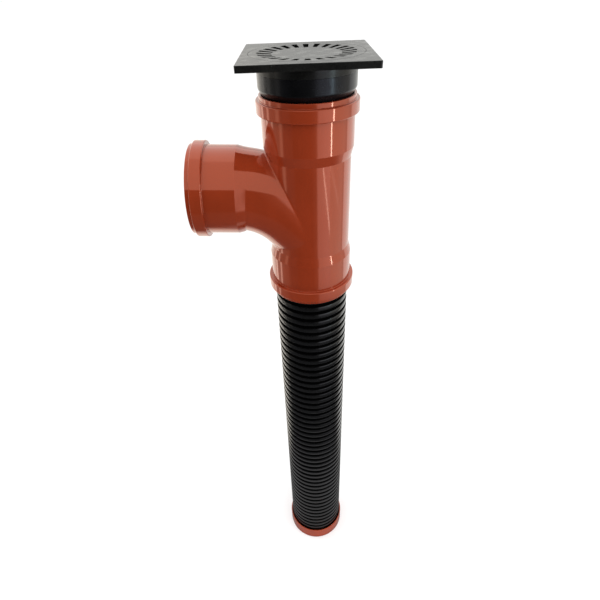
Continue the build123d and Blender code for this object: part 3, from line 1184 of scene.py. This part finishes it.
def rubber_finish(finish, settings):
    """Matt black rubber, with a faint bloom."""
    bloom = finish.between(finish.noise(40, 4), 0.40, 0.70)
    base = finish.shades(bloom, settings.colours.rubber, 1, 1.6)
    finish.set(Base_Color=base, Roughness=0.55 + bloom * 0.12, IOR=1.5)
    finish.bump(finish.noise(900, 2), 0.00006)


FINISHES = {
    "terracotta_gloss": terracotta_finish,
    "black_moulding_satin": moulding_finish,
    "black_grate_grain": grate_finish,
    "black_riser_gloss": riser_finish,
    "seal_rubber_matt": rubber_finish,
}


def material_named(name, settings):
    """A finish that is made once and then shared."""
    if name not in bpy.data.materials:
        FINISHES[name](Finish(name), settings)
    return bpy.data.materials[name]


# Operators


class GULLY_OT_tee(bpy.types.Operator):
    """Makes the terracotta tee with its three sockets"""

    bl_idname = "gully.tee"
    bl_label = "Tee"

    def execute(self, context):
        settings = context.scene.gully
        material = material_named("terracotta_gloss", settings)
        piece = new_piece("tee_moulding", tee_shell(settings))
        finished(piece, material, "terracotta_plastic", "tee")
        return {"FINISHED"}


class GULLY_OT_riser(bpy.types.Operator):
    """Makes the corrugated riser"""

    bl_idname = "gully.riser"
    bl_label = "Riser"

    def execute(self, context):
        riser = context.scene.gully.riser
        material = material_named("black_riser_gloss", context.scene.gully)
        outline = riser_outline(riser)
        line = bpy.data.meshes.new("ridge_outline")
        edges = [(number, number + 1) for number in range(len(outline) - 1)]
        line.from_pydata([(out, -height, 0) for out, height in outline], edges, [])
        piece = new_object("riser_ridges", line)
        values = {
            "Crest Radius": riser.crest_radius,
            "Columns": riser.columns,
            "Bottom": riser.bottom,
            "Pitch": (riser.top - riser.bottom) / riser.ridge_count,
            "Ridges": riser.ridge_count,
            "Material": material,
        }
        ridge_tree().applied(piece, values)
        groove = riser.crest_radius - riser.ridge_depth
        bore = groove - riser.wall
        shell = Shell()
        levels = (riser.bottom, riser.top)
        lining = [(groove, levels[0]), (bore, levels[0]), (bore, levels[1]), (groove, levels[1])]
        shell.turn(lining, riser.columns)
        work = bmesh.new()
        work.from_mesh(piece.data)
        shell.add_bmesh(work)
        piece.data = shell.as_mesh("riser_ridges")
        finished(piece, material, "black_riser", "riser_pipe")
        return {"FINISHED"}


class GULLY_OT_cap(bpy.types.Operator):
    """Makes the terracotta base cap"""

    bl_idname = "gully.cap"
    bl_label = "Base cap"

    def execute(self, context):
        settings = context.scene.gully
        material = material_named("terracotta_gloss", settings)
        shell = cap_shell(settings.cap, 2 * settings.tee.columns)
        piece = new_piece("base_cap_moulding", shell)
        finished(piece, material, "terracotta_plastic", "base_cap")
        return {"FINISHED"}


class GULLY_OT_neck(bpy.types.Operator):
    """Makes the black neck between the tee and the grate"""

    bl_idname = "gully.neck"
    bl_label = "Neck"

    def execute(self, context):
        settings = context.scene.gully
        tee = settings.tee
        material = material_named("black_moulding_satin", settings)
        shell = neck_shell(settings.neck, tee.pipe_radius, tee.pipe_wall, 2 * tee.columns)
        piece = new_piece("neck_moulding", shell)
        finished(piece, material, "black_moulding", "neck")
        return {"FINISHED"}


class GULLY_OT_frame(bpy.types.Operator):
    """Makes the square frame with its ribs and pips"""

    bl_idname = "gully.frame"
    bl_label = "Grate frame"

    def execute(self, context):
        sizes = context.scene.gully.grate_frame
        material = material_named("black_grate_grain", context.scene.gully)
        piece = new_piece("frame_moulding", frame_shell(sizes))
        tree = ring_tree("patterns_joined_round_a_frame", "UNION")
        repeated(piece, frame_rib_shell(sizes), tree, 4, material)
        repeated(piece, frame_pip_shell(sizes), tree, 4, material)
        finished(piece, material, "black_grate", "grate_frame")
        return {"FINISHED"}


class GULLY_OT_insert(bpy.types.Operator):
    """Makes the round insert with its radial slots"""

    bl_idname = "gully.insert"
    bl_label = "Grate insert"

    def execute(self, context):
        sizes = context.scene.gully.insert
        top = high("grate_insert", 2)
        material = material_named("black_grate_grain", context.scene.gully)
        piece = new_piece("insert_moulding", insert_shell(sizes, top, 8 * sizes.slot_count))
        ribs = ring_tree("ribs_joined_round_a_grate", "UNION")
        repeated(piece, insert_rib_shell(sizes, top), ribs, 2 * sizes.rib_count, material)
        slots = ring_tree("slots_cut_round_a_grate", "DIFFERENCE")
        repeated(piece, slot_shell(sizes, top), slots, sizes.slot_count, material)
        bevel = piece.modifiers.new("slot_edges", "BEVEL")
        bevel.width = sizes.edge_rounding
        bevel.segments = 2
        bevel.limit_method = "ANGLE"
        bevel.angle_limit = BEVEL_ANGLE
        bevel.harden_normals = False
        baked(piece)
        finished(piece, material, "black_grate", "grate_insert")
        return {"FINISHED"}


class GULLY_OT_seals(bpy.types.Operator):
    """Makes the seal rings in the tee's three sockets, and finishes the cap's ring"""

    bl_idname = "gully.seals"
    bl_label = "Seal rings"

    def execute(self, context):
        settings = context.scene.gully
        material = material_named("seal_rubber_matt", settings)
        shape = TeeShape(settings.tee, settings.socket, False)
        outwards = Vector((-cos(shape.tilt), 0, sin(shape.tilt)))
        origin = Vector((0, 0, shape.bottom + settings.tee.branch_level))
        mouth = origin + outwards * settings.tee.branch_reach
        half_turn = Matrix.Rotation(pi, 4, "X")
        turn = (-outwards).to_track_quat("Z", "Y").to_matrix().to_4x4()
        places = {
            "top_seal_ring": Matrix.Translation((0, 0, shape.top)) @ half_turn,
            "bottom_seal_ring": Matrix.Translation((0, 0, shape.bottom)),
            "branch_seal_ring": Matrix.Translation(mouth) @ turn,
        }
        for node, place in places.items():
            shell = seal_shell(settings.seal, settings.socket)
            piece = new_piece(node.replace("ring", "rubber"), shell.moved(place))
            finished(piece, material, "seal_rubber", node)
        cap_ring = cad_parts["cap_seal_ring"]
        cap_ring.data.materials.clear()
        cap_ring.data.materials.append(material)
        return {"FINISHED"}


class GULLY_OT_stage(bpy.types.Operator):
    """Sets up the floor, the soft light and the camera"""

    bl_idname = "gully.stage"
    bl_label = "Stage"

    def execute(self, context):
        settings = context.scene.gully
        make_floor(settings.stage, settings.colours.floor)
        context.scene.world = make_world(settings.stage)
        for name, place, target, width, height, power in LIGHTS:
            area_light(name, place, target, width, height, getattr(settings.stage, power))
        context.scene.camera = make_camera()
        context.scene.view_settings.view_transform = "Standard"
        return {"FINISHED"}


# Stage

FLOOR_RINGS = (0, 0.5, 2, 8, 40)  # radii of the floor's rings
FLOOR_COLUMNS = 48

# The soft lights: name, place, target, width, height and the setting of their power
LIGHTS = (
    ("key_panel", (1.5, -0.9, 1.7), (0, 0, 0.9), 0.5, 1.4, "key_light"),
    ("back_panel", (-1.5, 0.5, 1.9), (0, 0, 0.9), 0.7, 1.4, "back_light"),
    ("foot_panel", (0.1, -0.60, 0.16), (0, 0, 0.05), 0.5, 0.2, "foot_light"),
)

# The photograph's camera, fitted to the object's outlines
SENSOR_WIDTH = 36
CAMERA_LENS = 27.28
CAMERA_PLACE = (-0.015572, -0.849797, 1.588723)
CAMERA_PITCH = radians(36.73)
CAMERA_ROLL = radians(2.27)
CAMERA_HEADING = radians(-0.79)

# Tints of the panels, and of the lamp and the streaks
WARM = (1.0, 0.94, 0.84)
COOL = (0.92, 0.93, 1.0)
PLAIN = (1.0, 1.0, 0.96)
WHITE = (0.72, 0.95, 1.0)

# What the gloss shows of the studio round the object: azimuth from the camera's side in degrees,
# brightness, brightness near the floor, and tint.
PANELS = (
    (-180, 1.00, 1.00, PLAIN),
    (-150, 1.70, 1.60, WARM),
    (-128, 1.80, 1.70, WARM),
    (-125, 0.80, 0.80, WARM),
    (-121, 2.40, 2.40, WARM),
    (-117, 2.40, 2.40, WARM),
    (-114, 0.60, 0.60, WARM),
    (-103, 0.60, 0.60, WARM),
    (-100, 1.80, 2.20, WARM),
    (-97, 1.80, 2.20, WARM),
    (-94, 0.45, 0.45, WARM),
    (-78, 0.40, 0.35, WARM),
    (-73, 0.90, 0.35, WARM),
    (-69, 0.90, 0.30, WARM),
    (-64, 0.16, 0.12, COOL),
    (-42, 0.10, 0.06, COOL),
    (-38, 0.02, 0.02, PLAIN),
    (5, 0.02, 0.02, PLAIN),
    (18, 0.20, 0.20, PLAIN),
    (22, 1.20, 1.10, COOL),
    (50, 1.60, 1.30, COOL),
    (55, 1.65, 1.20, COOL),
    (58.5, 1.20, 1.20, PLAIN),
    (98, 1.05, 1.05, WARM),
    (105, 0.75, 0.75, WARM),
    (107.5, 0.75, 0.75, WARM),
    (109.5, 1.55, 1.55, PLAIN),
    (150, 1.30, 1.30, PLAIN),
    (180, 1.00, 1.00, PLAIN),
)

# Where the gloss changes with height, as (start, end) in degrees above the horizon
PANEL_HEIGHTS = (-27, -24)  # from the panels near the floor to the panels above
LAMP_HEIGHTS = (-20.2, -19.2)  # the upright lamp's lower end
SKY_HEIGHTS = (20, 22)  # from the panels to what hangs overhead
DARK_DEPTHS = (32, 42)  # from the panels to the dark floor, in degrees below the horizon

# The upright lamp's two edges, each as (start, end) in degrees of azimuth
LAMP_EDGES = ((55, 56), (57.5, 58.5))

# Where light changes with a direction's part along an axis, as (start, end)
BACK_EDGE = (0.05, 0.15)  # from the sky over the front to the sky over the back
FRONT_FADE = (0.0, 0.4)  # from the dark floor in front to none at the back
TOP_FADE = (0.0, 0.9)  # from the side light to the top light

STREAK_TOP = 0.355  # fall of the direction where the slanting streaks start
STREAK_START = (STREAK_TOP - 0.01, STREAK_TOP + 0.005)  # fall in which they come up
STREAK_FADE = 0.015  # half the fall in which they go out

# Each streak: azimuth at the top, its change with the fall, half width in degrees, fall where the
# streak ends, and share of the streaks' light
STREAKS = (
    (37, 170, 2.2, 0.470, 1.0),
    (61, 380, 5.0, 0.420, 0.12),
)


def make_floor(stage, pale):
    """A large pale floor that shows white to the camera and keeps the object's shadow."""
    shell = Shell().turn([(radius, 0) for radius in FLOOR_RINGS], FLOOR_COLUMNS)
    floor = new_piece("studio_floor", shell)
    if floor.data.polygons[0].normal.z < 0:
        floor.data.flip_normals()
    finish = Finish("studio_floor_pale")
    seen, shown = finish.ray("Camera"), finish.ray("Glossy")
    base = finish.mix(shown, pale, scaled(pale, stage.floor_gloss))
    finish.set(Base_Color=base, Roughness=0.9, Specular_IOR_Level=0.1)
    glow = {"Color": (1, 1, 1), "Strength": seen * stage.floor_glow}
    glow = finish.node("ShaderNodeEmission", glow)
    plain = Signal(finish, finish.shader.outputs[0])
    lit = finish.node("ShaderNodeAddShader", {0: plain, 1: glow})
    distance = finish.vector("LENGTH", {0: finish.place}, "Value")
    far = finish.between(distance, stage.near_floor, 1.5 * stage.near_floor)
    clear = finish.node("ShaderNodeBsdfTransparent")
    mixed = finish.node("ShaderNodeMixShader", {0: far * shown, 1: lit, 2: clear})
    finish.feed(finish.output.inputs["Surface"], mixed)
    floor.data.materials.append(finish.material)


def panel_ramp(graph, azimuth, column, brightest):
    """The panels' light by azimuth, at one height."""
    ramp = graph.node("ShaderNodeValToRGB", {"Fac": azimuth}, "Color")
    elements = ramp.socket.node.color_ramp.elements
    while len(elements) > 1:
        elements.remove(elements[-1])
    for number, panel in enumerate(PANELS):
        place = panel[0] / 360 + 0.5
        element = elements[0] if number == 0 else elements.new(place)
        element.position = place
        element.color = (*(panel[column] * part / brightest for part in panel[3]), 1)
    return graph.vector("SCALE", {0: ramp, "Scale": brightest})


def rising(graph, upwards, degrees):
    """0 below a height and 1 above another, given in degrees."""
    return graph.between(upwards, *(sin(radians(height)) for height in degrees))


def lamp_and_streaks(graph, degrees, along_z, stage):
    """Brightness of the upright lamp and of the slanting streaks below it."""
    near_edge, far_edge = LAMP_EDGES
    lamp = graph.between(degrees, *near_edge) * (1 - graph.between(degrees, *far_edge))
    lit = lamp * rising(graph, along_z, LAMP_HEIGHTS) * stage.lamp_light
    for first, slope, reach, end, part in STREAKS:
        aside = graph.math("ABSOLUTE", degrees + slope * (along_z + STREAK_TOP) - first)
        streak = (1 - graph.between(aside, reach / 4, reach)) * (stage.streak_light * part)
        streak = streak * graph.between(-along_z, *STREAK_START)
        tail = graph.between(-along_z, end - STREAK_FADE, end + STREAK_FADE)
        lit = lit + streak * (1 - tail)
    return lit


def make_world(stage):
    """Even light, a white background for the camera, and studio panels in the gloss."""
    world = bpy.data.worlds.new("studio_world")
    world.use_nodes = True
    world.cycles.sampling_method = "NONE"
    graph = Graph(world.node_tree)
    graph.tree.nodes.clear()
    way = graph.node("ShaderNodeTexCoord", output="Generated")
    parts = graph.node("ShaderNodeSeparateXYZ", {"Vector": way}).socket.node.outputs
    along_x, along_y, along_z = (Signal(graph, parts[axis]) for axis in "XYZ")
    azimuth = graph.math("ARCTAN2", along_x, -along_y) * (1 / tau) + 0.5
    lower, upper = (panel_ramp(graph, azimuth, column, stage.panel_light) for column in (2, 1))
    panels = graph.mix(rising(graph, along_z, PANEL_HEIGHTS), lower, upper)
    lit = lamp_and_streaks(graph, (azimuth - 0.5) * 360, along_z, stage)
    panels = graph.vector("ADD", {0: panels, 1: graph.vector("SCALE", {0: WHITE, "Scale": lit})})
    behind = graph.between(along_y, *BACK_EDGE)
    sky = behind * (stage.back_sky - stage.front_sky) + stage.front_sky
    over = graph.mix(rising(graph, along_z, SKY_HEIGHTS), panels, graph.grey(sky))
    front = 1 - graph.between(along_y, *FRONT_FADE)
    below = rising(graph, -along_z, DARK_DEPTHS) * front
    gloss = graph.mix(below, over, scaled(COOL, stage.dark_floor))
    top = graph.between(along_z, *TOP_FADE)
    even = graph.grey(top * (stage.top_light - stage.side_light) + stage.side_light)
    light = graph.mix(graph.ray("Camera"), graph.mix(graph.ray("Glossy"), even, gloss), (1, 1, 1))
    background = graph.node("ShaderNodeBackground", {"Color": light, "Strength": 1.0})
    graph.node("ShaderNodeOutputWorld", {"Surface": background}, output=None)
    return world


def area_light(name, place, target, width, height, power):
    """A rectangular soft light that faces a target."""
    data = bpy.data.lights.new(name, "AREA")
    data.shape = "RECTANGLE"
    data.size = width
    data.size_y = height
    data.energy = power
    lamp = new_object(name, data)
    lamp.location = place
    aim = Vector(target) - Vector(place)
    lamp.rotation_euler = aim.to_track_quat("-Z", "Y").to_euler()
    lamp.visible_glossy = False


def make_camera():
    """The camera at the photograph's place and angle."""
    data = bpy.data.cameras.new("photo_camera")
    data.sensor_fit = "HORIZONTAL"
    data.sensor_width = SENSOR_WIDTH
    data.lens = CAMERA_LENS
    level_ahead = Vector((sin(CAMERA_HEADING), cos(CAMERA_HEADING), 0))
    level_right = Vector((cos(CAMERA_HEADING), -sin(CAMERA_HEADING), 0))
    ahead = level_ahead * cos(CAMERA_PITCH) - Vector((0, 0, sin(CAMERA_PITCH)))
    level_down = -(level_ahead * sin(CAMERA_PITCH) + Vector((0, 0, cos(CAMERA_PITCH))))
    right = level_right * cos(CAMERA_ROLL) + level_down * sin(CAMERA_ROLL)
    down = level_down * cos(CAMERA_ROLL) - level_right * sin(CAMERA_ROLL)
    turn = Matrix((right, -down, -ahead)).transposed().to_4x4()
    camera = new_object("photo_camera", data)
    camera.matrix_world = Matrix.Translation(CAMERA_PLACE) @ turn
    return camera


class GULLY_PT_panel(bpy.types.Panel):
    """Lists the gully's pieces and its stage"""

    bl_label = "Yard gully"
    bl_idname = "GULLY_PT_panel"
    bl_space_type = "VIEW_3D"
    bl_region_type = "UI"
    bl_category = "Gully"

    def draw(self, context):
        for operator in OPERATORS:
            self.layout.operator(operator.bl_idname)


OPERATORS = (
    GULLY_OT_stage,
    GULLY_OT_tee,
    GULLY_OT_riser,
    GULLY_OT_cap,
    GULLY_OT_neck,
    GULLY_OT_frame,
    GULLY_OT_insert,
    GULLY_OT_seals,
)

CLASSES = (
    GullySocketSizes,
    GullyTeeSizes,
    GullyRiserSizes,
    GullyCapSizes,
    GullyNeckSizes,
    GullyFrameSizes,
    GullyInsertSizes,
    GullySealSizes,
    GullyColours,
    GullyStage,
    GullySettings,
    *OPERATORS,
    GULLY_PT_panel,
)


def register():
    for item in CLASSES:
        bpy.utils.register_class(item)
    bpy.types.Scene.gully = PointerProperty(type=GullySettings)


def unregister():
    del bpy.types.Scene.gully
    for item in reversed(CLASSES):
        bpy.utils.unregister_class(item)


def main():
    register()
    for operator in OPERATORS:
        group, name = operator.bl_idname.split(".")
        getattr(getattr(bpy.ops, group), name)()


if __name__ == "__main__":
    main()
